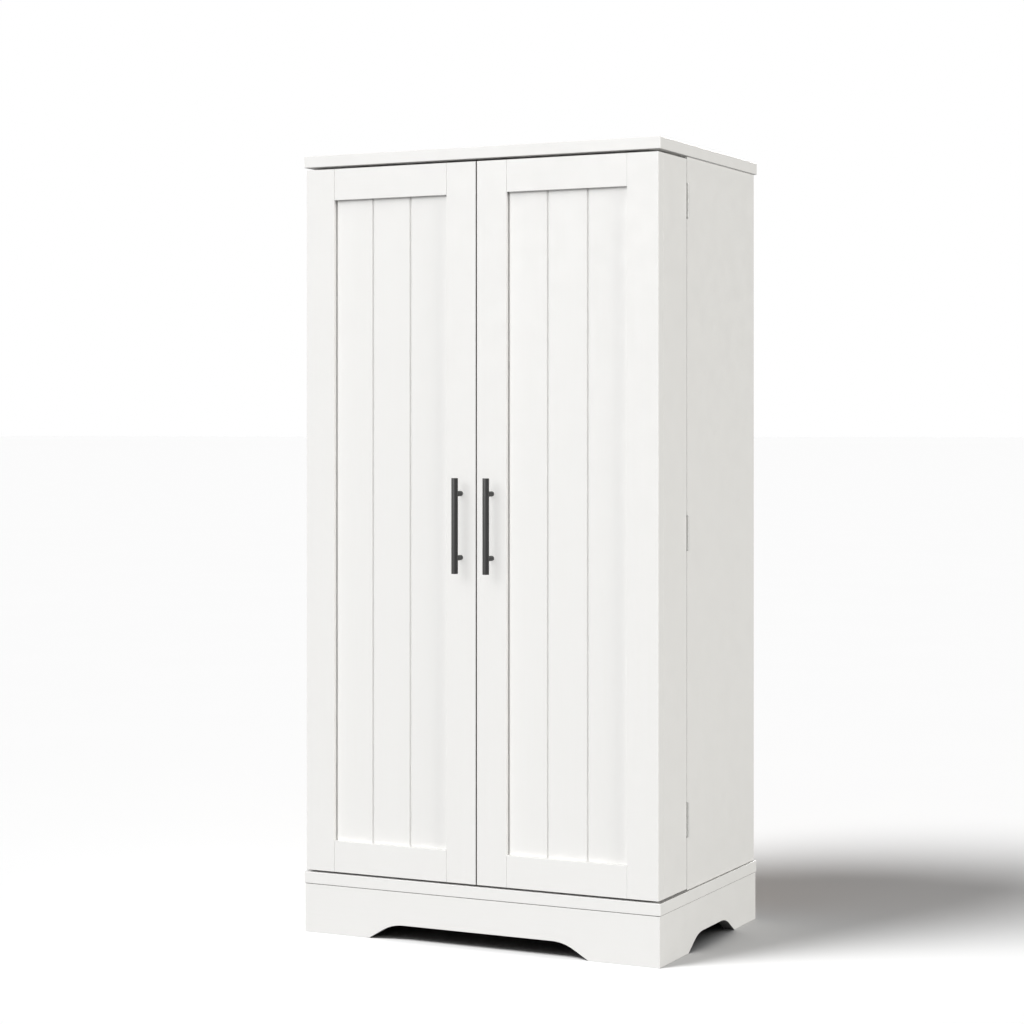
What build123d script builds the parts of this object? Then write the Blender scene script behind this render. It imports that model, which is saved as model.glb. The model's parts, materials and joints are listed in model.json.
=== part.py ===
"""Pantry cabinet: a shelved carcass closed by two deep box doors that carry shelves of their own.

Millimetres, +Z up, front towards -Y. The origin is on the floor, under the middle of the whole
cabinet with its handles. Three bodies move: the carcass, the left door and the right door.
"""
from build123d import *
import os

os.makedirs("parts", exist_ok=True)

# ---- Overall size, over the top panel
width = 596.0
depth = 400.0
height = 1200.0

# ---- Board thicknesses
carcass_board = 18.0
shelf_board = 15.0
back_board = 3.0
skirt_board = 18.0
frame_board = 18.0
box_board = 16.0
door_shelf_board = 12.0
panel_board = 6.0

# ---- How far each part stands inside the outline of the top panel or of the bottom board
carcass_side_inset = 3.5
carcass_rear_inset = 4.6
door_front_inset = 1.5
base_front_inset = 0.6
base_rear_inset = 2.8
skirt_inset = 0.6
skirt_side_inset = 1.2

# ---- Base
skirt_height = 75.0
shadow_line = 0.5
shadow_line_depth = 3.0
arch_height = 24.0
arch_slope_run = 39.0
arch_shoulder_radius = 70.0
front_arch_half = 183.5
side_arch_half = 95.5
corner_block_side = 34.0
corner_block_lift = 12.0

# ---- Doors
door_depth = 109.3
door_top_gap = 3.8
door_bottom_gap = 2.8
door_centre_gap = 1.8
seam_gap = 1.5
stile_width = 49.5
rail_width = 48.4
panel_recess = 6.5
panel_tongue = 7.0
panel_play = 0.1
panel_edge_play = 0.2
groove_width = 4.0
groove_depth = 2.5
boards_per_panel = 3
door_shelf_count = 3
door_shelf_setback = 2.0
retainer_thickness = 9.0
retainer_height = 30.0
retainer_lift = 38.0

# ---- Butt hinges, three to a door
hinge_offset = 1.0
knuckle_radius = 2.25
hinge_pin_radius = 1.2
hinge_running_play = 0.05
hinge_length = 50.8
hinge_leaf = 1.2
hinge_leaf_width = 13.5
knuckle_count = 5
knuckle_gap = 0.3
knuckle_clearance = 0.35
pocket_end_play = 1.0
pocket_depth_play = 0.05
pin_end_stand = 0.6
top_hinge_drop = 62.1
bottom_hinge_rise = 102.6
middle_hinge_drop = 13.5
hinge_screw_radius = 1.5
hinge_screw_head_radius = 2.7
hinge_screw_length = 15.0
hinge_screw_spacing = 30.0
hinge_slot_length = 3.8
hinge_slot_width = 0.6
hinge_slot_depth = 0.5
screw_tip_room = 1.5

# ---- T-bar handles
handle_hole_spacing = 96.0
handle_bar_radius = 5.0
handle_bar_length = 143.0
handle_post_radius = 4.0
handle_standoff = 20.0
handle_edge_distance = 25.1
handle_drop = 4.0
handle_saddle_play = 0.05
handle_screw_radius = 2.0
handle_screw_reach = 9.0
handle_screw_head_radius = 4.0
handle_screw_head_height = 2.4
handle_hole_play = 0.1

# ---- Shelves and their pins
pin_radius = 2.5
pin_reach = 8.0
pin_collar_radius = 4.0
pin_collar = 1.0
pin_row_inset = 37.0
pin_pitch = 32.0
pin_rows = 5
shelf_end_play = 1.5
shelf_front_setback = 4.0
shelf_back_play = 3.0

# ---- Back panel
back_rebate_width = 9.0
back_play = 0.5
back_seat_play = 0.1

# ---- Knock-down fittings
cam_radius = 7.5
cam_height = 12.5
cam_setback = 34.0
cam_inset = 50.0
cam_slot = 7.0
cam_cross_width = 1.2
cam_cross_depth = 1.0
bolt_radius = 3.0
bolt_thread = 11.0
bolt_neck_radius = 2.0
bolt_neck = 4.0
bolt_head = 3.0
bolt_bore_radius = 4.0
dowel_radius = 4.0
dowel_length = 30.0
dowel_spacing = 32.0
fit_play = 0.05

# ---- Catch and wall bracket
catch_width = 46.0
catch_depth = 24.0
catch_height = 15.0
catch_gap = 0.3
catch_corner_radius = 6.0
strike_width = 15.0
strike_height = 16.0
strike_thickness = 1.0
strike_inset = 1.0
bracket_width = 40.0
bracket_leg = 34.0
bracket_thickness = 2.0
bracket_hole_radius = 3.0
bracket_screw_radius = 2.0
bracket_screw_spacing = 22.0
bracket_screw_setback = 22.1
bracket_screw_length = 14.0
bracket_head_radius = 3.8
bracket_head = 2.0
wall_screw_play = 2.0

edge_round = 1.0
handle_round = 0.8

# ---- Places worked out from the sizes above
handle_reach = handle_standoff + handle_bar_radius - door_front_inset
top_front = handle_reach - (depth + handle_reach) / 2
top_rear = top_front + depth
top_under = height - carcass_board
side_face = width / 2 - carcass_side_inset
inner_face = side_face - carcass_board
base_front = top_front + base_front_inset
base_rear = top_rear - base_rear_inset
base_top = skirt_height + carcass_board
skirt_face = width / 2 - skirt_side_inset
skirt_front = base_front + skirt_inset
skirt_rear = base_rear - skirt_inset
door_front = top_front + door_front_inset
frame_rear = door_front + frame_board
door_rear = door_front + door_depth
side_front = door_rear + seam_gap
side_rear = top_rear - carcass_rear_inset
back_front = side_rear - back_seat_play - back_board
door_low = base_top + door_bottom_gap
door_high = top_under - door_top_gap
door_inner = door_centre_gap / 2
hinge_x = side_face + hinge_offset
hinge_y = door_rear + seam_gap / 2
hinge_levels = [
    door_low + bottom_hinge_rise,
    (door_low + door_high) / 2 - middle_hinge_drop,
    door_high - top_hinge_drop,
]
half_hinge = hinge_length / 2
handle_x = door_inner + handle_edge_distance
handle_z = (door_low + door_high) / 2 - handle_drop
handle_levels = [handle_z - handle_hole_spacing / 2, handle_z + handle_hole_spacing / 2]
bar_y = door_front - handle_standoff
middle_shelf_z = (base_top + top_under) / 2
bay_levels = [
    (base_top + middle_shelf_z - carcass_board / 2) / 2,
    (top_under + middle_shelf_z + carcass_board / 2) / 2,
]
bracket_screw_x = [-bracket_screw_spacing / 2, bracket_screw_spacing / 2]
bracket_screw_y = back_front - bracket_screw_setback
sides = {"left": -1, "right": 1}

# ---- How a round piece stands on a plane: growing from it, or ending at it
GROWS = (Align.CENTER, Align.CENTER, Align.MIN)
ENDS = (Align.CENTER, Align.CENTER, Align.MAX)


# ---- Shapes used again and again. Each works on the part that is open when it is called.
def slab(x, y, z, mode=Mode.ADD):
    """A square-edged block between two x, two y and two z values, given in any order."""
    with Locations((min(x), min(y), min(z))):
        Box(max(x) - min(x), max(y) - min(y), max(z) - min(z), align=[Align.MIN] * 3, mode=mode)


def rod(start, direction, length, radius, mode=Mode.ADD):
    """A round bar that starts at a point and runs along a direction."""
    with Locations(Plane(origin=start, z_dir=direction)):
        Cylinder(radius, length, align=GROWS, mode=mode)


def cone(start, direction, length, start_radius, end_radius, mode=Mode.ADD):
    """A tapered round bar, such as the head of a countersunk screw."""
    with Locations(Plane(origin=start, z_dir=direction)):
        Cone(start_radius, end_radius, length, align=GROWS, mode=mode)


def arch_cut(centre, half_foot):
    """Cuts the toe arch from an open sketch: sloping sides, rounded shoulders and a flat top."""
    half_top = half_foot - arch_slope_run
    shoulder = min(arch_shoulder_radius, half_top)
    outline = Polygon(
        (centre - half_foot, 0), (centre + half_foot, 0),
        (centre + half_top, arch_height), (centre - half_top, arch_height),
        align=None, mode=Mode.PRIVATE,
    ).face()
    add(outline.fillet_2d(shoulder, outline.vertices().sort_by(Axis.Y)[-2:]), mode=Mode.SUBTRACT)


def save(piece, label):
    """Names a finished piece and writes it as one STEP file."""
    piece.part.label = label
    export_step(piece.part, f"parts/{label}.step")


# ---- Knock-down joints: each has its bolt along z, from one board into the board with the cam,
# and x points out of the open mouth of the cam's pocket.
end_bolt_y = [side_front + cam_inset, side_rear - cam_inset]
dowel_y = [end_bolt_y[0] + dowel_spacing, end_bolt_y[1] - dowel_spacing]
mid_board_x = side_face - carcass_board / 2


def side_end_planes(s, y_values, end):
    """Planes at the top or bottom end of one side panel, pointing into the panel."""
    z, way = {"top": (top_under, -1), "bottom": (base_top, 1)}[end]
    return [Plane(origin=(s * mid_board_x, y, z), x_dir=(-s, 0, 0), z_dir=(0, 0, way)) for y in y_values]


def side_joint_planes(s, y_values):
    """Planes at both ends of one side panel."""
    return side_end_planes(s, y_values, "top") + side_end_planes(s, y_values, "bottom")


def shelf_joint_planes(s, y_values):
    """Planes at one end of the middle shelf, pointing into the shelf."""
    return [Plane(origin=(s * inner_face, y, middle_shelf_z), x_dir=(0, 0, -1), z_dir=(-s, 0, 0))
            for y in y_values]


def joint_planes(y_values):
    """Every joint plane of the carcass, both sides together."""
    planes = []
    for s in sides.values():
        planes += side_joint_planes(s, y_values) + shelf_joint_planes(s, y_values)
    return planes


def cut_cam_side(planes):
    """Cuts the cam's pocket and the bolt's stepped bore into the board that holds the cam."""
    for plane in planes:
        with Locations(plane):
            Cylinder(bolt_bore_radius, cam_setback, align=GROWS, mode=Mode.SUBTRACT)
            Cylinder(bolt_radius + fit_play, cam_setback + bolt_head / 2 + fit_play, align=GROWS,
                     mode=Mode.SUBTRACT)
            with Locations((carcass_board / 2 - cam_height / 2, 0, cam_setback)):
                Cylinder(cam_radius + fit_play, cam_height, rotation=(0, 90, 0), mode=Mode.SUBTRACT)


def cut_bolt_side(planes):
    """Drills the board that the bolt's thread screws into."""
    for plane in planes:
        with Locations(plane):
            Cylinder(bolt_radius + fit_play, bolt_thread + fit_play, align=ENDS, mode=Mode.SUBTRACT)


def cut_dowel_holes(planes):
    """Drills both boards of a joint for a dowel; each board only loses what lies inside it."""
    for plane in planes:
        with Locations(plane):
            Cylinder(dowel_radius + fit_play, dowel_length + 2 * fit_play, mode=Mode.SUBTRACT)


def dowel_planes(planes):
    """Dowels sit deeper in the board that holds the cam, so their thin board keeps its face."""
    return [plane.offset(dowel_length / 2 - bolt_thread) for plane in planes]


# ---- Hinges: facing is 1 for the leaf on the carcass and -1 for the leaf on the door.
knuckle_pitch = hinge_length / knuckle_count
own_knuckles = {1: range(0, knuckle_count, 2), -1: range(1, knuckle_count, 2)}


def hinge_screw_spots(s, facing):
    """Centres of the screw heads on the open face of the leaves on one side."""
    return [(s * (side_face - hinge_leaf_width / 2), hinge_y + facing * seam_gap / 2, z + offset)
            for z in hinge_levels
            for offset in (-hinge_screw_spacing / 2, hinge_screw_spacing / 2)]


def cut_hinge_seats(s, facing):
    """Recesses a board's edge for the leaves and knuckles on one side, and drills it for their screws."""
    face = hinge_y + facing * seam_gap / 2
    length = hinge_length + 2 * pocket_end_play
    for z in hinge_levels:
        low = z - length / 2
        slab((s * (side_face - hinge_leaf_width), s * side_face),
             (face, face + facing * (hinge_leaf + pocket_depth_play)), (low, low + length), Mode.SUBTRACT)
        rod((s * hinge_x, hinge_y, low), (0, 0, 1), length, knuckle_radius + knuckle_clearance, Mode.SUBTRACT)
    for spot in hinge_screw_spots(s, facing):
        rod(spot, (0, facing, 0), hinge_screw_length + screw_tip_room, hinge_screw_radius + fit_play,
            Mode.SUBTRACT)


# ---- Top panel
with BuildPart() as top_panel:
    with BuildSketch(Plane.XY.offset(top_under)):
        with Locations((0, (top_front + top_rear) / 2)):
            Rectangle(width, depth)
    extrude(amount=carcass_board)
    fillet(top_panel.edges(), edge_round)
    for s in sides.values():
        cut_bolt_side(side_end_planes(s, end_bolt_y, "top"))
        cut_dowel_holes(dowel_planes(side_end_planes(s, dowel_y, "top")))
    for x in bracket_screw_x:
        rod((x, bracket_screw_y, top_under), (0, 0, 1), bracket_screw_length - bracket_thickness,
            bracket_screw_radius, Mode.SUBTRACT)
save(top_panel, "top_panel")

# ---- Bottom board
with BuildPart() as bottom_board:
    with BuildSketch(Plane.XY.offset(skirt_height)):
        with Locations((0, (base_front + base_rear) / 2)):
            Rectangle(width, base_rear - base_front)
    extrude(amount=carcass_board)
    fillet(bottom_board.edges(), edge_round)
    for s in sides.values():
        cut_bolt_side(side_end_planes(s, end_bolt_y, "bottom"))
        cut_dowel_holes(dowel_planes(side_end_planes(s, dowel_y, "bottom")))
save(bottom_board, "bottom_board")

# ---- Side panels of the carcass
shelf_pin_y = [side_front + pin_row_inset, side_rear - pin_row_inset]

for side, s in sides.items():
    with BuildPart() as side_panel:
        with BuildSketch(Plane.XY.offset(base_top)):
            with Locations((s * mid_board_x, (side_front + side_rear) / 2)):
                Rectangle(carcass_board, side_rear - side_front)
        extrude(amount=top_under - base_top)
        slab((s * inner_face, s * (inner_face + back_rebate_width)),
             (side_rear - back_board - 2 * back_seat_play, side_rear), (base_top, top_under), Mode.SUBTRACT)
        slab((s * side_face, s * (side_face - shadow_line_depth)), (side_front, side_rear),
             (base_top, base_top + shadow_line), Mode.SUBTRACT)
        cut_hinge_seats(s, 1)
        for bay in bay_levels:
            for row in range(pin_rows):
                level = bay + (row - (pin_rows - 1) / 2) * pin_pitch
                for y in shelf_pin_y:
                    rod((s * inner_face, y, level), (s, 0, 0), pin_reach + 2 * fit_play,
                        pin_radius + fit_play, Mode.SUBTRACT)
        cut_cam_side(side_joint_planes(s, end_bolt_y))
        cut_dowel_holes(dowel_planes(side_joint_planes(s, dowel_y)))
        cut_bolt_side(shelf_joint_planes(s, end_bolt_y))
        cut_dowel_holes(dowel_planes(shelf_joint_planes(s, dowel_y)))
    save(side_panel, f"{side}_side_panel")

# ---- Middle shelf, fixed between the side panels
shelf_rear = back_front - back_seat_play
with BuildPart() as middle_shelf:
    with BuildSketch(Plane.XY.offset(middle_shelf_z - carcass_board / 2)):
        with Locations((0, (side_front + shelf_rear) / 2)):
            Rectangle(2 * inner_face, shelf_rear - side_front)
    extrude(amount=carcass_board)
    for s in sides.values():
        cut_cam_side(shelf_joint_planes(s, end_bolt_y))
        cut_dowel_holes(dowel_planes(shelf_joint_planes(s, dowel_y)))
save(middle_shelf, "middle_shelf")

# ---- Adjustable shelves and the pins that they rest on
with BuildPart() as adjustable_shelves:
    for bay in bay_levels:
        with BuildSketch(Plane.XY.offset(bay + pin_radius)):
            with Locations((0, (side_front + shelf_front_setback + shelf_rear - shelf_back_play) / 2)):
                Rectangle(2 * (inner_face - shelf_end_play),
                          shelf_rear - shelf_back_play - side_front - shelf_front_setback)
        extrude(amount=shelf_board)
save(adjustable_shelves, "adjustable_shelves")

with BuildPart() as shelf_pins:
    for s in sides.values():
        for bay in bay_levels:
            for y in shelf_pin_y:
                rod((s * (inner_face + pin_reach), y, bay), (-s, 0, 0), 2 * pin_reach, pin_radius)
                rod((s * inner_face, y, bay), (-s, 0, 0), pin_collar, pin_collar_radius)
save(shelf_pins, "shelf_pins")

# ---- Back panel, nailed into rebates in the side panels
back_edge = inner_face + back_rebate_width - back_play
with BuildPart() as back_panel:
    with BuildSketch(Plane.XZ.offset(-back_front)):
        with Locations((0, (base_top + top_under) / 2)):
            Rectangle(2 * back_edge, top_under - base_top - 2 * back_play)
    extrude(amount=-back_board)
    rod((0, back_front, top_under - bracket_leg / 2), (0, 1, 0), back_board,
        bracket_hole_radius + wall_screw_play, Mode.SUBTRACT)
save(back_panel, "back_panel")

# ---- Base: three arched skirts mitred at the front corners, a rear skirt and corner blocks.
# A shallow rebate round the top of the skirts draws a fine line under the bottom board.
side_arch_y = (skirt_front + skirt_board + skirt_rear) / 2
shadow_line_z = (skirt_height - shadow_line, skirt_height)

with BuildPart() as front_skirt:
    with BuildSketch(Plane.XZ.offset(-skirt_front)):
        with Locations((0, skirt_height / 2)):
            Rectangle(2 * skirt_face, skirt_height)
        arch_cut(0, front_arch_half)
    extrude(amount=-skirt_board)
    for s in sides.values():
        with BuildSketch(Plane.XY):
            Polygon((s * skirt_face, skirt_front), (s * skirt_face, skirt_front + skirt_board),
                    (s * (skirt_face - skirt_board), skirt_front + skirt_board), align=None)
        extrude(amount=skirt_height, mode=Mode.SUBTRACT)
    slab((-skirt_face, skirt_face), (skirt_front, skirt_front + shadow_line_depth), shadow_line_z,
         Mode.SUBTRACT)
save(front_skirt, "front_skirt")

for side, s in sides.items():
    with BuildPart() as side_skirt:
        with BuildSketch(Plane.YZ.offset(s * skirt_face)):
            with Locations(((skirt_front + skirt_rear) / 2, skirt_height / 2)):
                Rectangle(skirt_rear - skirt_front, skirt_height)
            arch_cut(side_arch_y, side_arch_half)
        extrude(amount=-s * skirt_board)
        with BuildSketch(Plane.XY):
            Polygon((s * skirt_face, skirt_front), (s * (skirt_face - skirt_board), skirt_front),
                    (s * (skirt_face - skirt_board), skirt_front + skirt_board), align=None)
        extrude(amount=skirt_height, mode=Mode.SUBTRACT)
        slab((s * skirt_face, s * (skirt_face - shadow_line_depth)), (skirt_front, skirt_rear),
             shadow_line_z, Mode.SUBTRACT)
    save(side_skirt, f"{side}_skirt")

with BuildPart() as rear_skirt:
    with BuildSketch(Plane.XZ.offset(-(skirt_rear - skirt_board))):
        with Locations((0, skirt_height / 2)):
            Rectangle(2 * (skirt_face - skirt_board), skirt_height)
        arch_cut(0, front_arch_half)
    extrude(amount=-skirt_board)
    slab((-skirt_face, skirt_face), (skirt_rear, skirt_rear - shadow_line_depth), shadow_line_z,
         Mode.SUBTRACT)
save(rear_skirt, "rear_skirt")

with BuildPart() as corner_blocks:
    block_x = skirt_face - skirt_board
    for s in sides.values():
        for block_y, into in ((skirt_front + skirt_board, 1), (skirt_rear - skirt_board, -1)):
            with BuildSketch(Plane.XY.offset(corner_block_lift)):
                Polygon((s * block_x, block_y), (s * (block_x - corner_block_side), block_y),
                        (s * block_x, block_y + into * corner_block_side), align=None)
            extrude(amount=skirt_height - corner_block_lift)
save(corner_blocks, "corner_blocks")

# ---- Knock-down fittings of the carcass
bolt_shank = cam_setback - bolt_neck - bolt_head / 2

with BuildPart() as cam_bolts:
    for plane in joint_planes(end_bolt_y):
        with Locations(plane):
            Cylinder(bolt_radius, bolt_thread, align=ENDS)
            Cylinder(bolt_radius, bolt_shank, align=GROWS)
            with Locations((0, 0, bolt_shank)):
                Cylinder(bolt_neck_radius, bolt_neck, align=GROWS)
            with Locations((0, 0, bolt_shank + bolt_neck)):
                Cylinder(bolt_radius, bolt_head, align=GROWS)
save(cam_bolts, "cam_bolts")

cam_mouth = cam_radius + bolt_head + cam_cross_depth
with BuildPart() as cam_locks:
    for plane in joint_planes(end_bolt_y):
        with Locations(plane):
            with Locations((carcass_board / 2 - cam_height / 2, 0, cam_setback)):
                Cylinder(cam_radius, cam_height, rotation=(0, 90, 0))
            with Locations((0, 0, cam_setback - cam_radius / 2)):
                Box(cam_slot, cam_slot, cam_mouth, mode=Mode.SUBTRACT)
            with Locations((carcass_board / 2 - cam_cross_depth, 0, cam_setback)):
                Box(2 * cam_cross_depth, cam_cross_width, cam_radius, mode=Mode.SUBTRACT)
                Box(2 * cam_cross_depth, cam_radius, cam_cross_width, mode=Mode.SUBTRACT)
save(cam_locks, "cam_locks")

with BuildPart() as wood_dowels:
    for plane in dowel_planes(joint_planes(dowel_y)):
        with Locations(plane):
            Cylinder(dowel_radius, dowel_length)
save(wood_dowels, "wood_dowels")

# ---- Magnetic catch under the top panel, between the two doors' strike plates
catch_front = door_rear + catch_gap
with BuildPart() as magnetic_catch:
    with BuildSketch(Plane.XY.offset(top_under - catch_height)):
        with Locations((0, catch_front + catch_depth / 2)):
            Rectangle(catch_width, catch_depth)
    extrude(amount=catch_height)
    fillet(magnetic_catch.edges().filter_by(Axis.Z).sort_by(Axis.Y)[-2:], catch_corner_radius)
save(magnetic_catch, "magnetic_catch")

# ---- Angle bracket that ties the cabinet to a wall so that it can't tip
with BuildPart() as wall_bracket:
    slab((-bracket_width / 2, bracket_width / 2), (back_front - bracket_leg, back_front),
         (top_under - bracket_thickness, top_under))
    slab((-bracket_width / 2, bracket_width / 2), (back_front - bracket_thickness, back_front),
         (top_under - bracket_leg, top_under))
    fillet(wall_bracket.edges().filter_by(Axis.X).group_by(Axis.Z)[1], bracket_thickness / 2)
    rod((0, back_front - bracket_thickness, top_under - bracket_leg / 2), (0, 1, 0), bracket_thickness,
        bracket_hole_radius, Mode.SUBTRACT)
    for x in bracket_screw_x:
        rod((x, bracket_screw_y, top_under - bracket_thickness), (0, 0, 1), bracket_thickness,
            bracket_screw_radius + fit_play, Mode.SUBTRACT)
save(wall_bracket, "wall_bracket")

with BuildPart() as bracket_screws:
    for x in bracket_screw_x:
        rod((x, bracket_screw_y, top_under - bracket_thickness), (0, 0, 1), bracket_screw_length,
            bracket_screw_radius - fit_play)
        rod((x, bracket_screw_y, top_under - bracket_thickness), (0, 0, -1), bracket_head,
            bracket_head_radius)
save(bracket_screws, "bracket_screws")


# ---- Hinge leaves, screws and pins
def hinge_leaf_set(s, facing):
    """The three leaves on one side, each with its own knuckles, bore and countersunk holes."""
    near = hinge_y + facing * seam_gap / 2
    far = near + facing * hinge_leaf
    for z in hinge_levels:
        low = z - half_hinge
        slab((s * (side_face - hinge_leaf_width), s * hinge_x), (near, far), (low, low + hinge_length))
        for i in own_knuckles[-facing]:
            rod((s * hinge_x, hinge_y, low + i * knuckle_pitch - knuckle_gap / 2), (0, 0, 1),
                knuckle_pitch + knuckle_gap, knuckle_radius + knuckle_gap, Mode.SUBTRACT)
        for i in own_knuckles[facing]:
            start = low + i * knuckle_pitch + (knuckle_gap / 2 if i else 0)
            end = low + (i + 1) * knuckle_pitch - (knuckle_gap / 2 if i < knuckle_count - 1 else 0)
            rod((s * hinge_x, hinge_y, start), (0, 0, 1), end - start, knuckle_radius)
        rod((s * hinge_x, hinge_y, low), (0, 0, 1), hinge_length,
            hinge_pin_radius + hinge_running_play, Mode.SUBTRACT)
    for spot in hinge_screw_spots(s, facing):
        cone(spot, (0, facing, 0), hinge_leaf, hinge_screw_head_radius + fit_play,
             hinge_screw_radius + fit_play, Mode.SUBTRACT)


def hinge_screw_set(s, facing):
    """The countersunk screws through the leaves on one side."""
    for spot in hinge_screw_spots(s, facing):
        cone(spot, (0, facing, 0), hinge_leaf, hinge_screw_head_radius, hinge_screw_radius)
        rod(spot, (0, facing, 0), hinge_screw_length, hinge_screw_radius)
        slab((spot[0] - hinge_slot_length / 2, spot[0] + hinge_slot_length / 2),
             (spot[1], spot[1] + facing * hinge_slot_depth),
             (spot[2] - hinge_slot_width / 2, spot[2] + hinge_slot_width / 2), Mode.SUBTRACT)


with BuildPart() as carcass_hinge_leaves:
    for s in sides.values():
        hinge_leaf_set(s, 1)
save(carcass_hinge_leaves, "carcass_hinge_leaves")

with BuildPart() as carcass_hinge_screws:
    for s in sides.values():
        hinge_screw_set(s, 1)
save(carcass_hinge_screws, "carcass_hinge_screws")

with BuildPart() as hinge_pins:
    for s in sides.values():
        for z in hinge_levels:
            rod((s * hinge_x, hinge_y, z - half_hinge - pin_end_stand), (0, 0, 1),
                hinge_length + 2 * pin_end_stand, hinge_pin_radius)
    fillet(hinge_pins.edges().filter_by(GeomType.CIRCLE), hinge_pin_radius / 3)
save(hinge_pins, "hinge_pins")

# ---- Doors. x runs from the centre of the cabinet outwards, times s for the side.
opening = (door_inner + stile_width, side_face - stile_width)
opening_z = (door_low + rail_width, door_high - rail_width)
groove_y = (door_front + panel_recess - panel_play, door_front + panel_recess + panel_board + panel_play)
box_inside = (door_inner + box_board, side_face - box_board)
box_floor = door_low + box_board
box_ceiling = door_high - box_board
tier = (box_ceiling - box_floor - door_shelf_count * door_shelf_board) / (door_shelf_count + 1)
shelf_levels = [box_floor + (i + 1) * tier + i * door_shelf_board for i in range(door_shelf_count)]
tier_floors = [box_floor] + [level + door_shelf_board for level in shelf_levels]
door_shelf_rear = door_rear - door_shelf_setback
strike_x = (door_inner + strike_inset, door_inner + strike_inset + strike_width)
strike_middle = top_under - catch_height / 2 - door_top_gap
strike_z = (strike_middle - strike_height / 2, strike_middle + strike_height / 2)

for side, s in sides.items():
    stiles = {"outer": (opening[1], side_face, -1), "inner": (door_inner, opening[0], 1)}
    for place, (x0, x1, grooved_side) in stiles.items():
        with BuildPart() as stile:
            with BuildSketch(Plane.XY.offset(door_low)):
                with Locations((s * (x0 + x1) / 2, (door_front + frame_rear) / 2)):
                    Rectangle(x1 - x0, frame_board)
            extrude(amount=door_high - door_low)
            edge = x1 if grooved_side > 0 else x0
            slab((s * edge, s * (edge - grooved_side * panel_tongue)), groove_y,
                 (opening_z[0] - panel_tongue, opening_z[1] + panel_tongue), Mode.SUBTRACT)
            if place == "inner":
                for z in handle_levels:
                    rod((s * handle_x, door_front, z), (0, 1, 0), frame_board,
                        handle_screw_radius + handle_hole_play, Mode.SUBTRACT)
        save(stile, f"{side}_door_{place}_stile")

    rails = {"bottom": (door_low, opening_z[0], 1), "top": (opening_z[1], door_high, -1)}
    for place, (z0, z1, grooved_side) in rails.items():
        with BuildPart() as rail:
            with BuildSketch(Plane.XY.offset(z0)):
                with Locations((s * sum(opening) / 2, (door_front + frame_rear) / 2)):
                    Rectangle(opening[1] - opening[0], frame_board)
            extrude(amount=z1 - z0)
            edge = z1 if grooved_side > 0 else z0
            slab((s * opening[0], s * opening[1]), groove_y, (edge, edge - grooved_side * panel_tongue),
                 Mode.SUBTRACT)
        save(rail, f"{side}_door_{place}_rail")

    with BuildPart() as panel:
        reach = panel_tongue - panel_edge_play
        panel_x = (opening[0] - reach, opening[1] + reach)
        panel_front = door_front + panel_recess
        with BuildSketch(Plane.XY.offset(opening_z[0] - reach)):
            with Locations((s * sum(panel_x) / 2, panel_front + panel_board / 2)):
                Rectangle(panel_x[1] - panel_x[0], panel_board)
            for i in range(1, boards_per_panel):
                x = s * (opening[0] + (opening[1] - opening[0]) * i / boards_per_panel)
                Polygon((x - groove_width / 2, panel_front), (x + groove_width / 2, panel_front),
                        (x, panel_front + groove_depth), align=None, mode=Mode.SUBTRACT)
        extrude(amount=opening_z[1] - opening_z[0] + 2 * reach)
    save(panel, f"{side}_door_panel")

    with BuildPart() as outer_board:
        slab((s * box_inside[1], s * side_face), (frame_rear, door_rear), (door_low, door_high))
        cut_hinge_seats(s, -1)
    save(outer_board, f"{side}_door_outer_board")

    with BuildPart() as inner_board:
        slab((s * door_inner, s * box_inside[0]), (frame_rear, door_rear), (door_low, door_high))
        slab([s * x for x in strike_x], (door_rear, door_rear - strike_thickness), strike_z, Mode.SUBTRACT)
    save(inner_board, f"{side}_door_inner_board")

    with BuildPart() as strike_plate:
        slab([s * x for x in strike_x], (door_rear, door_rear - strike_thickness), strike_z)
    save(strike_plate, f"{side}_strike_plate")

    caps = {"bottom": (door_low, box_floor), "top": (box_ceiling, door_high)}
    for place, levels in caps.items():
        with BuildPart() as cap_board:
            slab([s * x for x in box_inside], (frame_rear, door_rear), levels)
            slab([s * x for x in strike_x], (door_rear, door_rear - strike_thickness), strike_z,
                 Mode.SUBTRACT)
        save(cap_board, f"{side}_door_{place}_board")

    for i, level in enumerate(shelf_levels, start=1):
        with BuildPart() as door_shelf:
            slab([s * x for x in box_inside], (frame_rear, door_shelf_rear),
                 (level, level + door_shelf_board))
        save(door_shelf, f"{side}_door_shelf_{i}")

    with BuildPart() as retainers:
        for floor in tier_floors:
            slab([s * x for x in box_inside], (door_shelf_rear - retainer_thickness, door_shelf_rear),
                 (floor + retainer_lift, floor + retainer_lift + retainer_height))
    save(retainers, f"{side}_door_retaining_rails")

    with BuildPart() as handle_bar:
        rod((s * handle_x, bar_y, handle_z - handle_bar_length / 2), (0, 0, 1), handle_bar_length,
            handle_bar_radius)
        fillet(handle_bar.edges().filter_by(GeomType.CIRCLE), handle_round)
    save(handle_bar, f"{side}_handle_bar")

    with BuildPart() as handle_posts:
        for z in handle_levels:
            rod((s * handle_x, door_front, z), (0, -1, 0), handle_standoff, handle_post_radius)
            rod((s * handle_x, door_front, z), (0, -1, 0), handle_screw_reach + fit_play,
                handle_screw_radius + fit_play, Mode.SUBTRACT)
        rod((s * handle_x, bar_y, handle_z - handle_bar_length / 2), (0, 0, 1), handle_bar_length,
            handle_bar_radius + handle_saddle_play, Mode.SUBTRACT)
    save(handle_posts, f"{side}_handle_posts")

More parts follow.
